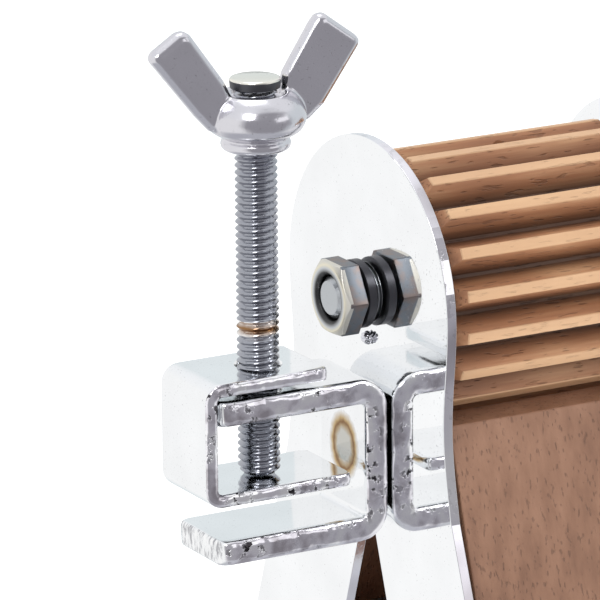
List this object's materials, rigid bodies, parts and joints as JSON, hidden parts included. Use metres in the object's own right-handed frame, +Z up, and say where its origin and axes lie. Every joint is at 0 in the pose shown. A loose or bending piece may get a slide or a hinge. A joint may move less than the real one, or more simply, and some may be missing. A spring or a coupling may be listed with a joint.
{
  "type": "orchestral ratchet",
  "caption": "Orchestral ratchet: a toothed wooden cylinder turned by a crank under two sprung wooden tongues, in a chromed steel frame with a screw clamp on its side.",
  "frame": {"origin": "the clamp's seat: the point on the fixed jaw's top face under the wing screw's axis", "axes": "+X along the axle, away from the clamp and towards the crank; -Y towards the front tongue; +Z up along the wing screw"},
  "size_m": [0.12, 0.0766, 0.1132],
  "materials": {
    "axle": "zinc plate, satin",
    "axle_collar": "dark oxidised spring steel",
    "axle_nut": "zinc plate, satin",
    "crank_arm": "polished chrome plate",
    "crank_nut": "zinc plate, satin",
    "crank_washer": "zinc plate, satin",
    "far_plate": "polished chrome plate",
    "far_spacer": "zinc plate, satin",
    "fixed_clamp": "polished chrome plate",
    "front_block": "oiled beech",
    "front_far_screw_1": "zinc plate, satin",
    "front_far_screw_2": "zinc plate, satin",
    "front_near_screw_1": "zinc plate, satin",
    "front_near_screw_2": "zinc plate, satin",
    "front_tongue": "oiled beech",
    "front_tongue_foot": "oiled beech",
    "front_tongue_screw_1": "zinc plate, satin",
    "front_tongue_screw_2": "zinc plate, satin",
    "gear": "oiled beech",
    "gear_pin": "zinc plate, satin",
    "knob": "lacquered beech",
    "knob_spindle": "zinc plate, satin",
    "near_plate": "polished chrome plate",
    "near_spacer": "zinc plate, satin",
    "rear_block": "oiled beech",
    "rear_far_screw_1": "zinc plate, satin",
    "rear_far_screw_2": "zinc plate, satin",
    "rear_near_screw_1": "zinc plate, satin",
    "rear_near_screw_2": "zinc plate, satin",
    "rear_tongue": "oiled beech",
    "rear_tongue_foot": "oiled beech",
    "rear_tongue_screw_1": "zinc plate, satin",
    "rear_tongue_screw_2": "zinc plate, satin",
    "sliding_jaw": "polished chrome plate",
    "thrust_washer": "zinc plate, satin",
    "wing_head": "polished chrome plate",
    "wing_screw": "polished chrome plate"
  },
  "bodies": {
    "frame": {"far_plate": "far_plate", "fixed_clamp": "fixed_clamp", "front_block": "front_block", "front_far_screw_1": "front_far_screw_1", "front_far_screw_2": "front_far_screw_2", "front_near_screw_1": "front_near_screw_1", "front_near_screw_2": "front_near_screw_2", "front_tongue_foot": "front_tongue_foot", "front_tongue_screw_1": "front_tongue_screw_1", "front_tongue_screw_2": "front_tongue_screw_2", "near_plate": "near_plate", "rear_block": "rear_block", "rear_far_screw_1": "rear_far_screw_1", "rear_far_screw_2": "rear_far_screw_2", "rear_near_screw_1": "rear_near_screw_1", "rear_near_screw_2": "rear_near_screw_2", "rear_tongue_foot": "rear_tongue_foot", "rear_tongue_screw_1": "rear_tongue_screw_1", "rear_tongue_screw_2": "rear_tongue_screw_2"},
    "gear_crank": {"gear": "gear", "gear_pin": "gear_pin", "axle": "axle", "axle_nut": "axle_nut", "axle_collar": "axle_collar", "near_spacer": "near_spacer", "far_spacer": "far_spacer", "thrust_washer": "thrust_washer", "crank_arm": "crank_arm", "crank_washer": "crank_washer", "crank_nut": "crank_nut", "knob_spindle": "knob_spindle"},
    "knob": {"knob": "knob"},
    "clamp_jaw": {"sliding_jaw": "sliding_jaw"},
    "clamp_screw": {"wing_screw": "wing_screw", "wing_head": "wing_head"},
    "front_blade": {"front_tongue": "front_tongue"},
    "rear_blade": {"rear_tongue": "rear_tongue"}
  },
  "joints": [
    {"name": "gear_spin", "type": "hinge", "parent": "frame", "child": "gear_crank", "pos_m": [0.0399, 0, 0.0307], "axis": [1, 0, 0], "continuous": true},
    {"name": "knob_spin", "type": "hinge", "parent": "gear_crank", "child": "knob", "pos_m": [0.0843, 0, -0.0093], "axis": [1, 0, 0], "continuous": true},
    {"name": "jaw_slide", "type": "slide", "parent": "frame", "child": "clamp_jaw", "axis": [0, 0, 1], "range_m": [-0.0005, 0.0092]},
    {"name": "screw_turn", "type": "hinge", "parent": "clamp_jaw", "child": "clamp_screw", "pos_m": [0, 0, 0.04], "axis": [0, 0, 1], "range_deg": [-181, 3313]},
    {"name": "front_tongue_bend", "type": "hinge", "parent": "frame", "child": "front_blade", "pos_m": [0.0399, -0.03011, -0.0263], "axis": [-1, 0, 0], "range_deg": [0, 3.5], "stiffness_Nm_per_rad": 4},
    {"name": "rear_tongue_bend", "type": "hinge", "parent": "frame", "child": "rear_blade", "pos_m": [0.0399, 0.03011, -0.0263], "axis": [1, 0, 0], "range_deg": [0, 3.5], "stiffness_Nm_per_rad": 4}
  ],
  "couplings": [
    {"joint": "screw_turn", "follows": "jaw_slide", "rad_per_m": 6283.2}
  ]
}
